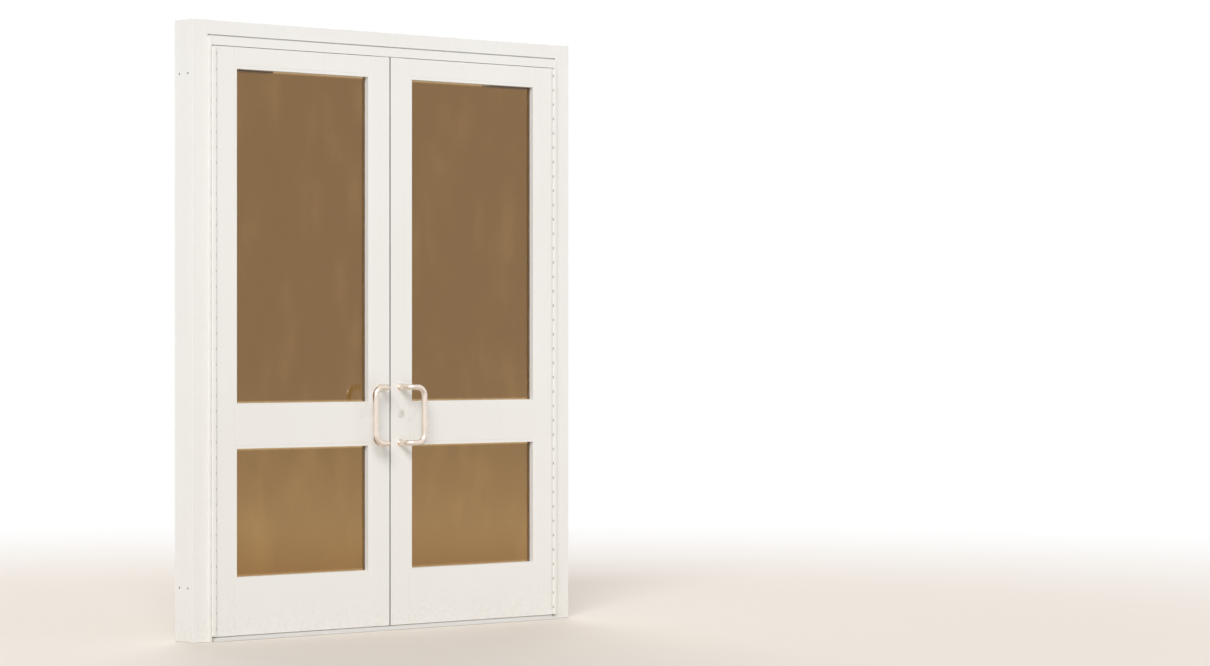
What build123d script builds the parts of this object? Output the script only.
from build123d import *
import math
import os

os.makedirs("parts", exist_ok=True)

# A pair of glass doors that open outwards, in their aluminium frame, in millimetres.
# X runs to the right as seen from outside, Y runs into the building and Z runs up.
# The origin is on the floor, in the middle of the opening and of the frame's depth.
# Each leaf is drawn on the right, at positive X, and mirrored for the left.

# The opening between the jambs and under the header
opening_width = 1828.8
opening_height = 2438.4
frame_depth = 114.3
jamb_face = 15.0
header_height = 38.1
frame_wall = 3.2
corner_radius = 1.2

# The posts at the sides and the bar above, which hold the door frame
mullion_width = 76.2
mullion_depth = 127.0
mullion_setback = 10.0
bar_height = 63.5
bar_groove_height = 6.0
bar_groove_depth = 12.0
anchor_radius = 5.0
anchor_spacing_across = 60.0
anchor_spacing_up = 2100.0

# The stops that the leaves close against, and the strip on them
stop_projection = 16.0
stop_wall = 2.5
strip_thickness = 2.7
strip_width = 9.0
closed_gap = 0.3

# The threshold
threshold_height = 15.9
threshold_front = 76.0
threshold_back = 51.0
threshold_bevel = 16.0
threshold_toe = 2.5
threshold_skin = 5.2
threshold_rib_width = 10.0
tread_groove_width = 2.0
tread_groove_depth = 1.2
tread_groove_pitch = 8.0

# The gaps round a leaf
hinge_gap = 8.0
meeting_gap = 6.0
floor_gap = 19.0
head_gap = 2.2

# A leaf's stiles and rails
leaf_thickness = 44.45
leaf_wall = 3.2
stile_width = 101.6
top_rail_height = 76.2
mid_rail_height = 160.6
mid_rail_centre = 879.0
bottom_rail_height = 226.3

# The glass and what holds it
glass_thickness = 6.35
glass_bite = 9.0
glass_setback = 24.0
bead_width = 12.7
bead_recess = 0.8
bead_wall = 1.6
gasket_thickness = 2.2
gasket_width = 8.0
gasket_recess = 1.0
block_length = 100.0

# The seals on a leaf
sweep_clearance = 0.5
sweep_width = 10.0
sweep_back = 16.0
pile_depth = 6.0
pile_inset = 2.0
pile_clearance = 0.3

# The geared hinge that runs the height of a leaf
hinge_end_gap = 3.0
gear_radius = 3.9
gear_standoff = 4.8
hinge_plate = 3.2
hinge_plate_inset = 2.0
cap_clearance = 1.0
cap_side = 0.8
cap_front = 1.2
cap_corner = 2.5
bearing_pitch = 63.5
bearing_clearance = 0.3
bearing_length = 13.4
bearing_end_gap = 0.3
bearing_tongue_width = 5.2
bearing_tongue_depth = 3.0

# The pull handle
pull_radius = 12.7
pull_spacing = 238.0
pull_centre = 914.0
pull_projection = 69.85
pull_offset = 76.2
pull_bend = 30.0
pull_corner = 36.7
pull_collar_radius = 16.0
pull_collar_height = 4.0
pull_stud_radius = 4.8
stud_clearance = 0.2

# The lock cylinder on the right leaf
cylinder_x = 56.0
cylinder_height = 922.0
cylinder_radius = 14.5
cylinder_collar_radius = 17.5
cylinder_proud = 3.0
cylinder_depth = 22.0
cylinder_clearance = 0.1
plug_radius = 6.4
plug_proud = 0.8
plug_clearance = 0.06
keyway_width = 1.6
keyway_height = 8.5
keyway_depth = 9.0

# The exit device on the inside of a leaf, held in by its dog at rest
exit_height = 58.0
exit_depth = 32.0
exit_wall = 3.0
exit_edge_gap = 12.4
lock_case_width = 82.0
lock_case_height = 130.0
lock_case_depth = 45.0
end_case_width = 50.0
end_case_height = 66.0
end_case_depth = 37.0
end_case_edge_gap = 56.0
case_corner = 6.0
case_joint = 0.3
bar_clearance = 0.3
bar_end_gap = 8.0
bar_depth = 33.0
bar_wall = 2.5
bar_proud = 8.0
bar_front_radius = 6.0

# The concealed rods and the latch bolts at their ends
rod_x = 30.0
rod_setback = 19.0
rod_radius = 5.0
bolt_radius = 7.0
bolt_length = 29.0
bolt_setback = 1.0
bolt_travel = 14.0
lug_width = 6.0
lug_height = 12.0
lug_reach = 34.0
rod_gap = 52.0
slot_clearance = 1.0
guide_height = 25.0
guide_length = 55.0
guide_end_gap = 2.0
guide_clearance = 0.1
strike_hole_radius = 8.0
strike_length = 48.0
strike_depth = 24.0
strike_thickness = 1.6
bushing_radius = 11.0
bushing_clearance = 0.05
header_hole_radius = 8.6

# The closer on the inside of the top rail, and its parallel arms
closer_start = 100.0
closer_length = 230.0
closer_height = 52.0
closer_depth = 56.0
closer_corner = 9.0
closer_top_drop = 42.8
spindle_along = 208.0
spindle_out = 27.7
spindle_radius = 8.0
spindle_length = 15.0
arm_width = 22.0
arm_thickness = 8.0
hub_radius = 15.0
main_arm_length = 267.0
closed_arm_angle = 6.0
arm_gap = 1.5
elbow_radius = 5.0
elbow_head_radius = 8.0
elbow_head_height = 2.5
pin_clearance = 0.06
shoe_along = 229.0
shoe_out = 31.3
shoe_length = 90.0
shoe_width = 30.0
shoe_thickness = 6.0
shoe_stud_radius = 6.0
shoe_gap = 0.5

# Places that follow from the sizes above
face_y = -frame_depth / 2
room_y = frame_depth / 2
rabbet_x = opening_width / 2
mullion_in = rabbet_x + jamb_face
mullion_out = mullion_in + mullion_width
mullion_face = face_y + mullion_setback
mullion_back = mullion_face + mullion_depth
header_top = opening_height + header_height
frame_top = header_top + bar_height

leaf_in = meeting_gap / 2
leaf_out = rabbet_x - hinge_gap
leaf_back = face_y + leaf_thickness
leaf_bottom = floor_gap
leaf_top = opening_height - head_gap
stop_face = leaf_back + closed_gap + strip_thickness
stop_bottom = opening_height - stop_projection

lock_stile_edge = leaf_in + stile_width
hinge_stile_edge = leaf_out - stile_width
bottom_rail_top = leaf_bottom + bottom_rail_height
mid_rail_bottom = mid_rail_centre - mid_rail_height / 2
mid_rail_top = mid_rail_centre + mid_rail_height / 2
top_rail_bottom = leaf_top - top_rail_height

pull_x = leaf_in + stile_width / 2
glass_front = face_y + glass_setback
glass_back = glass_front + glass_thickness

hinge_x = rabbet_x - hinge_gap / 2
gear_y = face_y - gear_standoff
hinge_bottom = leaf_bottom + hinge_end_gap
hinge_top = leaf_top - hinge_end_gap
rod_y = face_y + rod_setback
exit_front = leaf_back + exit_depth
closer_top = leaf_top - closer_top_drop
spindle_x = hinge_x - spindle_along
spindle_y = leaf_back + spindle_out
shoe_x = hinge_x - shoe_along
shoe_y = leaf_back + shoe_out


def block(x0, x1, y0, y1, z0, z1):
    """A box between two corners."""
    centre = Pos((x0 + x1) / 2, (y0 + y1) / 2, (z0 + z1) / 2)
    return centre * Box(x1 - x0, y1 - y0, z1 - z0)


def round_up(x, y, z0, z1, radius):
    """A round bar that stands upright."""
    return Pos(x, y, (z0 + z1) / 2) * Cylinder(radius, z1 - z0)


def round_in(x, z, y0, y1, radius):
    """A round bar that points into the building."""
    return Pos(x, (y0 + y1) / 2, z) * Rot(90, 0, 0) * Cylinder(radius, y1 - y0)


def upright_tube(x0, x1, y0, y1, z0, z1, wall):
    """A rectangular tube that stands upright, with softened corners."""
    outline = RectangleRounded(x1 - x0, y1 - y0, corner_radius)
    section = outline - Rectangle(x1 - x0 - 2 * wall, y1 - y0 - 2 * wall)
    return Pos((x0 + x1) / 2, (y0 + y1) / 2, z0) * extrude(section, z1 - z0)


def cross_tube(x0, x1, y0, y1, z0, z1, wall):
    """A rectangular tube that lies along X, with softened corners."""
    outline = RectangleRounded(y1 - y0, z1 - z0, corner_radius)
    section = outline - Rectangle(y1 - y0 - 2 * wall, z1 - z0 - 2 * wall)
    start = Pos(x0, (y0 + y1) / 2, (z0 + z1) / 2)
    return start * extrude(Plane.YZ * section, x1 - x0)


def mirrored(piece):
    """The same piece for the left side."""
    return mirror(piece, about=Plane.YZ)


def save(name, *pieces):
    """Writes one sub-part, keeping its solids apart."""
    solids = [solid for piece in pieces for solid in piece.solids()]
    shape = solids[0] if len(solids) == 1 else Compound(children=solids)
    export_step(shape, f"parts/{name}.step")


def save_pair(name, *pieces):
    """Writes a sub-part of the right leaf and its mirror image on the left leaf."""
    save(f"right_{name}", *pieces)
    save(f"left_{name}", *[mirrored(piece) for piece in pieces])


def make_mullion():
    """The right post, with its four anchor holes in the outer wall."""
    post = upright_tube(mullion_in, mullion_out, mullion_face, mullion_back, 0, frame_top, frame_wall)
    middle_y = (mullion_face + mullion_back) / 2
    for side in (-1, 1):
        for level in (-1, 1):
            y = middle_y + side * anchor_spacing_across / 2
            z = frame_top / 2 + level * anchor_spacing_up / 2
            hole = Rot(0, 90, 0) * Cylinder(anchor_radius, 3 * frame_wall)
            post -= Pos(mullion_out - frame_wall / 2, y, z) * hole
    return post


def make_transom_bar():
    """The bar above the doors, with the shadow groove along its lower front edge."""
    groove_y = mullion_face + bar_groove_depth
    groove_z = header_top + bar_groove_height
    bar = cross_tube(-mullion_in, mullion_in, mullion_face, mullion_back, header_top, frame_top, frame_wall)
    corner = block(
        -mullion_in, mullion_in, mullion_face, groove_y + frame_wall, header_top, groove_z + frame_wall
    )
    groove = block(-mullion_in, mullion_in, mullion_face, groove_y, header_top, groove_z)
    return bar + corner - groove


def make_jamb():
    """The right jamb, a flat tube against its post."""
    return upright_tube(rabbet_x, mullion_in, face_y, room_y, 0, header_top, frame_wall)


def make_header():
    """The header between the jambs, with the holes that the top bolts enter."""
    header = cross_tube(-rabbet_x, rabbet_x, face_y, room_y, opening_height, header_top, frame_wall)
    for side in (-1, 1):
        header -= round_up(
            side * rod_x, rod_y, opening_height - frame_wall, opening_height + 2 * frame_wall, header_hole_radius
        )
    return header


def make_stops():
    """The two upright stops and the one under the header, which reaches jamb to jamb."""
    jamb_stop = upright_tube(
        rabbet_x - stop_projection, rabbet_x, stop_face, room_y, threshold_height, stop_bottom, stop_wall
    )
    head_stop = cross_tube(-rabbet_x, rabbet_x, stop_face, room_y, stop_bottom, opening_height, stop_wall)
    return jamb_stop, mirrored(jamb_stop), head_stop


def make_frame_strips():
    """The sealing strips on the stops, just clear of the closed leaves."""
    front = stop_face - strip_thickness
    edge = rabbet_x - stop_projection
    jamb_strip = block(edge, edge + strip_width, front, stop_face, threshold_height, stop_bottom)
    head_strip = block(
        -edge - strip_width, edge + strip_width, front, stop_face, stop_bottom, stop_bottom + strip_width
    )
    return jamb_strip, mirrored(jamb_strip), head_strip


def make_threshold():
    """The saddle threshold, hollow underneath, with grooves to tread on."""
    front, back = -threshold_front, threshold_back
    outline = Polyline(
        (front, 0),
        (front, threshold_toe),
        (front + threshold_bevel, threshold_height),
        (back - threshold_bevel, threshold_height),
        (back, threshold_toe),
        (back, 0),
        close=True,
    )
    section = make_face(outline)
    ceiling = threshold_height - threshold_skin
    half_rib = threshold_rib_width / 2
    for start, end in ((front + threshold_bevel, -half_rib), (half_rib, back - threshold_bevel)):
        section -= Pos((start + end) / 2, ceiling / 2) * Rectangle(end - start, ceiling)
    tread = back - front - 2 * threshold_bevel
    count = int(tread / tread_groove_pitch) - 1
    middle = (back + front) / 2
    for step in range(count):
        y = middle + (step - (count - 1) / 2) * tread_groove_pitch
        groove = Rectangle(tread_groove_width, 2 * tread_groove_depth)
        section -= Pos(y, threshold_height) * groove
    threshold = Pos(-rabbet_x, 0, 0) * extrude(Plane.YZ * section, 2 * rabbet_x)
    for side in (-1, 1):
        threshold -= round_up(side * rod_x, rod_y, -1, threshold_height + 1, bushing_radius)
    return threshold


def make_strikes():
    """The plate that each top bolt enters and the bushing that each bottom bolt enters."""
    plate = block(
        rod_x - strike_length / 2, rod_x + strike_length / 2,
        rod_y - strike_depth / 2, rod_y + strike_depth / 2,
        opening_height - strike_thickness, opening_height,
    )
    plate -= round_up(rod_x, rod_y, opening_height - 2 * strike_thickness, opening_height + 1, strike_hole_radius)
    bushing = round_up(rod_x, rod_y, 0, threshold_height, bushing_radius - bushing_clearance)
    bushing -= round_up(rod_x, rod_y, -1, threshold_height + 1, strike_hole_radius)
    return plate, bushing, mirrored(plate), mirrored(bushing)


def bearing_levels():
    """The heights of the hinge's bearings, evenly spaced about its middle."""
    usable = hinge_top - hinge_bottom - bearing_pitch / 2
    count = int(usable / bearing_pitch) + 1
    middle = (hinge_top + hinge_bottom) / 2
    return [middle + (step - (count - 1) / 2) * bearing_pitch for step in range(count)]


def make_gear_leaf(axis_x, plate_in, plate_out):
    """One half of the geared hinge: a round gear edge on a long plate, notched for the bearings."""
    plate_end = leaf_back - hinge_plate_inset
    plate = block(plate_in, plate_out, gear_y, plate_end, hinge_bottom, hinge_top)
    leaf = plate + round_up(axis_x, gear_y, hinge_bottom, hinge_top, gear_radius)
    notch_length = bearing_length + 2 * bearing_end_gap
    reach = hinge_gap / 2 + 2 * gear_radius
    notches = [
        block(
            hinge_x - reach, hinge_x + reach,
            gear_y - 2 * gear_radius, gear_y + gear_radius + bearing_clearance,
            level - notch_length / 2, level + notch_length / 2,
        )
        for level in bearing_levels()
    ]
    return leaf - notches


def make_hinge_cap():
    """The cover that keeps the two gears in mesh and turns half as far as the leaf."""
    bore = gear_radius + cap_clearance
    half_width = hinge_gap / 2 + bore + cap_side
    front = gear_y - bore - cap_front
    cap = block(hinge_x - half_width, hinge_x + half_width, front, gear_y, hinge_bottom, hinge_top)
    front_edges = cap.edges().filter_by(Axis.Z).sort_by(Axis.Y)[:2]
    cap = fillet(front_edges, cap_corner)
    for side in (-1, 1):
        cap -= round_up(hinge_x + side * hinge_gap / 2, gear_y, hinge_bottom - 1, hinge_top + 1, bore)
    hollow = block(
        hinge_x - hinge_gap / 2, hinge_x + hinge_gap / 2, gear_y - bore, gear_y + 1, hinge_bottom - 1, hinge_top + 1
    )
    return cap - hollow


def make_bearings():
    """The nylon bearings that ride in the cap, in the notches of both gear leaves."""
    bearings = []
    lobe_radius = gear_radius + cap_clearance - bearing_clearance
    for level in bearing_levels():
        low, high = level - bearing_length / 2, level + bearing_length / 2
        body = block(hinge_x - hinge_gap / 2, hinge_x + hinge_gap / 2, gear_y - lobe_radius, gear_y, low, high)
        for side in (-1, 1):
            lobe = round_up(hinge_x + side * hinge_gap / 2, gear_y, low, high, lobe_radius)
            back_half = block(
                hinge_x - 3 * gear_radius, hinge_x + 3 * gear_radius, gear_y, gear_y + 2 * gear_radius, low, high
            )
            body += lobe - back_half
        half_tongue = bearing_tongue_width / 2
        body += block(hinge_x - half_tongue, hinge_x + half_tongue, gear_y, gear_y + bearing_tongue_depth, low, high)
        bearings.append(body)
    return bearings


def make_hinge_stile():
    """The stile on the hinge side."""
    return upright_tube(hinge_stile_edge, leaf_out, face_y, leaf_back, leaf_bottom, leaf_top, leaf_wall)


def make_lock_stile(has_lock):
    """The meeting stile, slotted inside for the rods and drilled outside for pull and lock."""
    stile = upright_tube(leaf_in, lock_stile_edge, face_y, leaf_back, leaf_bottom, leaf_top, leaf_wall)
    for direction in (-1, 1):
        near = mid_rail_centre + direction * (rod_gap / 2 - slot_clearance)
        far = near + direction * (lug_height + bolt_travel + 2 * slot_clearance)
        stile -= block(
            rod_x - lug_width / 2 - slot_clearance, rod_x + lug_width / 2 + slot_clearance,
            leaf_back - 2 * leaf_wall, leaf_back + 1, min(near, far), max(near, far),
        )
        pull_level = pull_centre + direction * pull_spacing / 2
        stile -= round_in(
            pull_x, pull_level, face_y - 1, face_y + 2 * leaf_wall, pull_stud_radius + stud_clearance
        )
    if has_lock:
        stile -= round_in(
            cylinder_x, cylinder_height, face_y - 1, face_y + 2 * leaf_wall, cylinder_radius + cylinder_clearance
        )
    return stile


def make_rail(low, high):
    """A rail between the two stiles."""
    return cross_tube(lock_stile_edge, hinge_stile_edge, face_y, leaf_back, low, high, leaf_wall)


def panes():
    """The two spaces between the rails, as their lowest and highest heights."""
    return {
        "lower": (bottom_rail_top, mid_rail_bottom),
        "upper": (mid_rail_top, top_rail_bottom),
    }


def make_glass(low, high):
    """One pane, held by its edges in the beads."""
    cover = bead_width - glass_bite
    pane = block(
        lock_stile_edge + cover, hinge_stile_edge - cover, glass_front, glass_back, low + cover, high - cover
    )
    return pane


def bead_ring(low, high, y0, y1):
    """Four snap-in beads round one pane, each a channel that opens towards its stile or rail."""
    left, right = lock_stile_edge, hinge_stile_edge
    beads = []
    for edge, inward in ((left, 1), (right, -1)):
        inner = edge + inward * bead_width
        hollow = inner - inward * bead_wall
        bead = block(min(edge, inner), max(edge, inner), y0, y1, low, high)
        bead -= block(
            min(edge, hollow), max(edge, hollow), y0 + bead_wall, y1 - bead_wall, low - 1, high + 1
        )
        beads.append(bead)
    for edge, inward in ((low, 1), (high, -1)):
        inner = edge + inward * bead_width
        hollow = inner - inward * bead_wall
        x0, x1 = left + bead_width, right - bead_width
        bead = block(x0, x1, y0, y1, min(edge, inner), max(edge, inner))
        bead -= block(x0 - 1, x1 + 1, y0 + bead_wall, y1 - bead_wall, min(edge, hollow), max(edge, hollow))
        beads.append(bead)
    return beads


def make_beads():
    """The outside and inside beads of both panes."""
    beads = []
    for low, high in panes().values():
        beads += bead_ring(low, high, face_y + bead_recess, glass_front - gasket_thickness)
        beads += bead_ring(low, high, glass_back + gasket_thickness, leaf_back - bead_recess)
    return beads


def make_gaskets():
    """The rubber between glass and beads, and the blocks that each pane stands on."""
    left, right = lock_stile_edge + bead_width, hinge_stile_edge - bead_width
    gaskets = []
    for low, high in panes().values():
        low, high = low + bead_width, high - bead_width
        for y0, y1 in ((glass_front - gasket_thickness, glass_front), (glass_back, glass_back + gasket_thickness)):
            ring = block(
                left - gasket_width - gasket_recess, right + gasket_width + gasket_recess, y0, y1,
                low - gasket_width - gasket_recess, high + gasket_width + gasket_recess,
            )
            ring -= block(
                left - gasket_recess, right + gasket_recess, y0 - 1, y1 + 1,
                low - gasket_recess, high + gasket_recess,
            )
            gaskets.append(ring)
        quarter = (right - left) / 4
        for centre in (left + quarter, right - quarter):
            gaskets.append(
                block(
                    centre - block_length / 2, centre + block_length / 2,
                    glass_front, glass_back, low - bead_width, low - glass_bite,
                )
            )
    return gaskets


def make_leaf_seals():
    """The sweep under the leaf and the pile strip on its meeting edge."""
    back = leaf_back - sweep_back + sweep_width
    sweep_strip = block(
        leaf_in + pile_inset, leaf_out - pile_inset, back - sweep_width, back,
        threshold_height + sweep_clearance, leaf_bottom,
    )
    pile = block(
        pile_clearance / 2, leaf_in, face_y + pile_inset, face_y + pile_inset + pile_depth,
        leaf_bottom, leaf_top,
    )
    return sweep_strip, pile


def make_pull():
    """The offset pull: one bent bar, out from the stile, across towards the glass and down."""
    top = pull_centre + pull_spacing / 2
    low = pull_centre - pull_spacing / 2
    near, far = pull_x, pull_x + pull_offset
    out = face_y - pull_projection
    route = FilletPolyline(
        (near, face_y, top),
        (near, out, top),
        (far, out, top),
        (far, out, low),
        (near, out, low),
        (near, face_y, low),
        radius=[pull_bend, pull_corner, pull_corner, pull_bend],
    )
    start = Plane(origin=route @ 0, z_dir=route % 0)
    pull = sweep(start * Circle(pull_radius), path=route)
    for level in (top, low):
        pull += round_in(near, level, face_y - pull_collar_height, face_y, pull_collar_radius)
        pull += round_in(near, level, face_y, face_y + 3 * leaf_wall, pull_stud_radius)
    return pull


def make_cylinder():
    """The lock cylinder, with its collar on the face of the stile."""
    front, back = face_y - cylinder_proud, face_y + cylinder_depth
    body = round_in(cylinder_x, cylinder_height, front, back, cylinder_radius)
    body += round_in(cylinder_x, cylinder_height, front, face_y, cylinder_collar_radius)
    return body - round_in(cylinder_x, cylinder_height, front - 1, back + 1, plug_radius + plug_clearance)


def make_plug():
    """The plug that the key turns."""
    front, back = face_y - cylinder_proud - plug_proud, face_y + cylinder_depth
    plug = round_in(cylinder_x, cylinder_height, front, back, plug_radius)
    half_width, half_height = keyway_width / 2, keyway_height / 2
    return plug - block(
        cylinder_x - half_width, cylinder_x + half_width, front - 1, front + keyway_depth,
        cylinder_height - half_height, cylinder_height + half_height,
    )


def exit_span():
    """Where the exit device's channel starts and ends, between its two cases."""
    start = leaf_in + exit_edge_gap + lock_case_width + case_joint
    end = leaf_out - end_case_edge_gap - end_case_width - case_joint
    return start, end


def make_exit_chassis():
    """The channel on the mid rail that the touch bar slides in."""
    start, end = exit_span()
    low, high = mid_rail_centre - exit_height / 2, mid_rail_centre + exit_height / 2
    channel = block(start, end, leaf_back, exit_front, low, high)
    return channel - block(
        start - 1, end + 1, leaf_back + exit_wall, exit_front + 1, low + exit_wall, high - exit_wall
    )


def make_case(x0, x1, height, depth):
    """A cast case, open at the back, with rounded front edges."""
    low, high = mid_rail_centre - height / 2, mid_rail_centre + height / 2
    shell = block(x0, x1, leaf_back, leaf_back + depth, low, high)
    front_edges = shell.faces().sort_by(Axis.Y)[-1].edges()
    shell = fillet(front_edges, case_corner)
    return shell - block(
        x0 + exit_wall, x1 - exit_wall, leaf_back - 1, leaf_back + depth - exit_wall,
        low + exit_wall, high - exit_wall,
    )


def make_exit_cases():
    """The latch case on the meeting stile and the end case on the hinge stile."""
    start, end = exit_span()
    lock_case = make_case(start - case_joint - lock_case_width, start - case_joint, lock_case_height, lock_case_depth)
    end_case = make_case(end + case_joint, end + case_joint + end_case_width, end_case_height, end_case_depth)
    return lock_case, end_case


def make_touch_bar():
    """The bar that is pushed to open the door, nested in the channel."""
    start, end = exit_span()
    half = exit_height / 2 - exit_wall - bar_clearance
    front = exit_front + bar_proud
    back = front - bar_depth
    bar = block(start + bar_end_gap, end - bar_end_gap, back, front, mid_rail_centre - half, mid_rail_centre + half)
    bar = fillet(bar.edges().filter_by(Axis.X).sort_by(Axis.Y)[-2:], bar_front_radius)
    return bar - block(
        start + bar_end_gap + bar_wall, end - bar_end_gap - bar_wall, back - 1, front - bar_wall,
        mid_rail_centre - half + bar_wall, mid_rail_centre + half - bar_wall,
    )


def make_rod(direction):
    """One concealed rod with its latch bolt, and the lug that the exit device moves it by."""
    inner = mid_rail_centre + direction * rod_gap / 2
    tip = leaf_top - bolt_setback if direction > 0 else leaf_bottom + bolt_setback
    shoulder = tip - direction * bolt_length
    rod = round_up(rod_x, rod_y, min(inner, shoulder), max(inner, shoulder), rod_radius)
    rod += round_up(rod_x, rod_y, min(shoulder, tip), max(shoulder, tip), bolt_radius)
    far = inner + direction * lug_height
    rod += block(
        rod_x - lug_width / 2, rod_x + lug_width / 2, rod_y, rod_y + lug_reach, min(inner, far), max(inner, far)
    )
    return rod


def make_guides():
    """The blocks in the ends of the meeting stile that the latch bolts slide in."""
    guides = []
    for low in (leaf_bottom + guide_end_gap, leaf_top - guide_end_gap - guide_height):
        guide = block(
            leaf_in + leaf_wall, leaf_in + leaf_wall + guide_length,
            face_y + leaf_wall, leaf_back - leaf_wall, low, low + guide_height,
        )
        guide -= round_up(rod_x, rod_y, low - 1, low + guide_height + 1, bolt_radius + guide_clearance)
        guides.append(guide)
    return guides


def arm_levels():
    """The heights of the closer's arms and of the shoe above them."""
    main_low = closer_top + arm_gap
    main_high = main_low + arm_thickness
    fore_low = main_high + arm_gap
    fore_high = fore_low + arm_thickness
    return main_low, main_high, fore_low, fore_high


def elbow_place():
    """The elbow of the closed arms, a little further into the room than the shaft."""
    angle = math.radians(closed_arm_angle)
    return spindle_x - main_arm_length * math.cos(angle), spindle_y + main_arm_length * math.sin(angle)


def link(start, end, low, high):
    """A flat arm with round ends between two pivots."""
    length = math.dist(start, end)
    angle = math.degrees(math.atan2(end[1] - start[1], end[0] - start[0]))
    middle = Pos((start[0] + end[0]) / 2, (start[1] + end[1]) / 2, (low + high) / 2)
    arm = middle * Rot(0, 0, angle) * Box(length, arm_width, high - low)
    for x, y in (start, end):
        arm += round_up(x, y, low, high, hub_radius)
    return arm


def make_closer_body():
    """The closer's body on the top rail, bored for the shaft that the arm turns."""
    x1 = hinge_x - closer_start
    body = block(
        x1 - closer_length, x1, leaf_back, leaf_back + closer_depth, closer_top - closer_height, closer_top
    )
    front_edges = body.edges().filter_by(Axis.X).sort_by(Axis.Y)[-2:]
    body = fillet(front_edges, closer_corner)
    return body - round_up(
        spindle_x, spindle_y, closer_top - spindle_length - 1, closer_top + 1, spindle_radius + pin_clearance
    )


def make_main_arm():
    """The arm on the closer's shaft, with the elbow pin at its far end."""
    main_low, main_high, fore_low, fore_high = arm_levels()
    elbow = elbow_place()
    arm = link((spindle_x, spindle_y), elbow, main_low, main_high)
    arm += round_up(spindle_x, spindle_y, closer_top - spindle_length, main_low, spindle_radius)
    arm += round_up(*elbow, main_high, fore_high + shoe_gap, elbow_radius)
    arm += round_up(*elbow, fore_high + shoe_gap, fore_high + shoe_gap + elbow_head_height, elbow_head_radius)
    return arm


def make_forearm():
    """The arm between the elbow and the shoe on the frame."""
    low, high = arm_levels()[2:]
    elbow = elbow_place()
    arm = link(elbow, (shoe_x, shoe_y), low, high)
    return arm - round_up(*elbow, low - 1, high + 1, elbow_radius + pin_clearance)


def make_shoe():
    """The shoe under the head stop, with the stud that the forearm hangs from."""
    fore_high = arm_levels()[3]
    plate = block(
        shoe_x - shoe_length / 2, shoe_x + shoe_length / 2, shoe_y - shoe_width / 2, shoe_y + shoe_width / 2,
        stop_bottom - shoe_thickness, stop_bottom,
    )
    plate = fillet(plate.edges().filter_by(Axis.Z), shoe_width / 3)
    return plate + round_up(shoe_x, shoe_y, fore_high + shoe_gap, stop_bottom - shoe_thickness, shoe_stud_radius)


mullion = make_mullion()
jamb = make_jamb()
save("right_mullion", mullion)
save("left_mullion", mirrored(mullion))
save("right_jamb", jamb)
save("left_jamb", mirrored(jamb))
save("transom_bar", make_transom_bar())
save("header", make_header())
save("door_stops", *make_stops())
save("frame_weatherstrip", *make_frame_strips())
save("threshold", make_threshold())
save("latch_strikes", *make_strikes())

frame_gear = make_gear_leaf(rabbet_x, rabbet_x - hinge_plate, rabbet_x)
save("hinge_frame_leaves", frame_gear, mirrored(frame_gear))
shoe = make_shoe()
save("closer_shoes", shoe, mirrored(shoe))

save_pair("hinge_cap", make_hinge_cap())
save_pair("hinge_bearings", *make_bearings())
save_pair("hinge_leaf", make_gear_leaf(leaf_out, leaf_out, leaf_out + hinge_plate))

save_pair("hinge_stile", make_hinge_stile())
save("right_lock_stile", make_lock_stile(True))
save("left_lock_stile", mirrored(make_lock_stile(False)))
save_pair("bottom_rail", make_rail(leaf_bottom, bottom_rail_top))
save_pair("mid_rail", make_rail(mid_rail_bottom, mid_rail_top))
save_pair("top_rail", make_rail(top_rail_bottom, leaf_top))
for position, (low, high) in panes().items():
    save_pair(f"{position}_glass", make_glass(low, high))
save_pair("glazing_beads", *make_beads())
save_pair("glazing_gaskets", *make_gaskets())
save_pair("weather_seals", *make_leaf_seals())

save_pair("pull_handle", make_pull())
save("lock_cylinder", make_cylinder())
save("cylinder_plug", make_plug())

save_pair("exit_chassis", make_exit_chassis())
save_pair("exit_cases", *make_exit_cases())
save_pair("touch_bar", make_touch_bar())
save_pair("top_rod", make_rod(1))
save_pair("bottom_rod", make_rod(-1))
save_pair("rod_guides", *make_guides())

save_pair("closer_body", make_closer_body())
save_pair("closer_main_arm", make_main_arm())
save_pair("closer_forearm", make_forearm())
